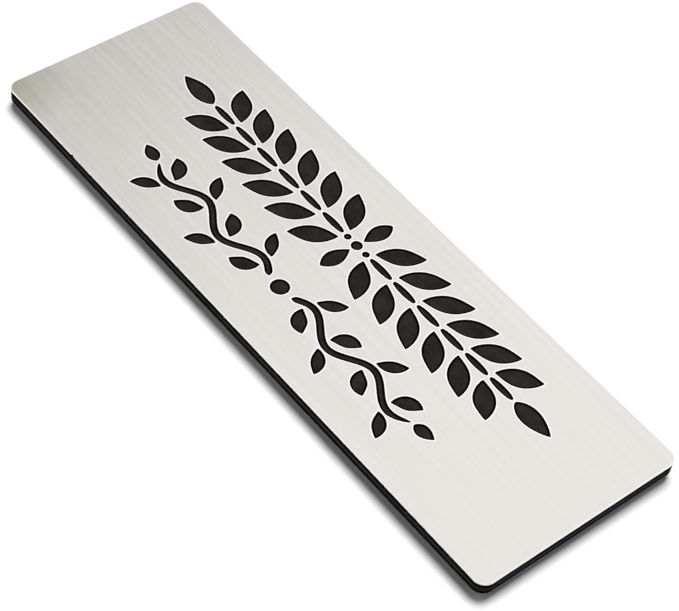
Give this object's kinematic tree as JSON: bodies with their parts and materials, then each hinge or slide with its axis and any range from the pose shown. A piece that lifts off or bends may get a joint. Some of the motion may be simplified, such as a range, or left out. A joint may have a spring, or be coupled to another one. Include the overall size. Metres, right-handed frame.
{
  "type": "name badge",
  "caption": "Thin rectangular name badge: black plate under a brushed silver cap engraved through with a leaf garland over a vine, and a flat fastening strip on the back.",
  "frame": {"origin": "middle of the fastening strip's lower face, which is the bottom centre of the part's box", "axes": "+X along the plate from left to right, +Y to the plate's upper edge, +Z out of the engraved face"},
  "size_m": [0.076, 0.025, 0.0025],
  "materials": {
    "black_core": "matte black plastic sheet with fine saw marks on its edges",
    "brushed_silver": "silver cap with a fine brushed grain along the plate",
    "nickelled_steel": "plain satin nickelled steel"
  },
  "bodies": {
    "root": {"core_sheet": "black_core", "brushed_cap": "brushed_silver", "fastening_strip": "nickelled_steel"}
  },
  "joints": []
}
